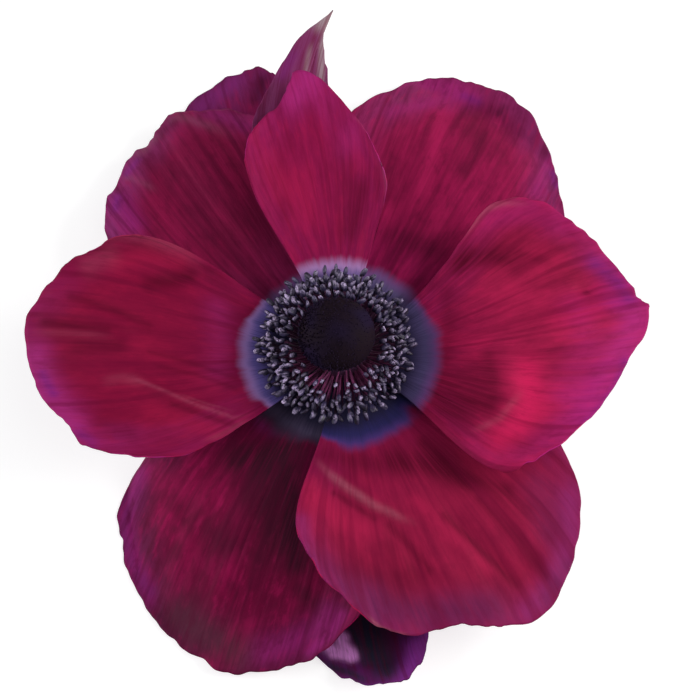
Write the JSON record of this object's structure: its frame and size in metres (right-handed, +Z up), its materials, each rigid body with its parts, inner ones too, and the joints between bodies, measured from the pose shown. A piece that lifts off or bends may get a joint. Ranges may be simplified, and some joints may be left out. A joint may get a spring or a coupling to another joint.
{
  "type": "anemone flower",
  "caption": "Open anemone flower with a short cut stem, lying face up: layered waved petals round a domed dark head in a ring of stamens.",
  "frame": {"origin": "middle of the bounding box's base, on the surface that the flower lies on", "axes": "+Z up, out of the flower's face; +Y towards the narrow top petal and the pointed one behind it; +X towards the large right petal"},
  "size_m": [0.0908, 0.1008, 0.0243],
  "materials": {
    "petal_crimson": "velvety crimson petal, magenta towards the margins, lilac at the base",
    "petal_wine": "velvety wine-red petal, purple towards the margins, blue-violet at the base",
    "anther": "blue-black anthers with a pale bloom on purple-red filaments",
    "pistil": "near-black purple, finely bristled, matte",
    "stem": "finely haired green stem flushed with purple, pale cut end"
  },
  "bodies": {
    "root": {"stem": "stem", "petal_rear_curled": "petal_wine", "petal_rear_upper_left": "petal_wine", "petal_back_upper_left": "petal_wine", "petal_back_lower_left": "petal_wine", "petal_back_upper_right": "petal_wine", "petal_middle_pointed": "petal_crimson", "petal_middle_lower_right": "petal_crimson", "petal_front_top": "petal_crimson", "petal_front_right": "petal_crimson", "petal_front_left": "petal_crimson", "stamens": "anther", "pistil_head": "pistil"}
  },
  "joints": []
}
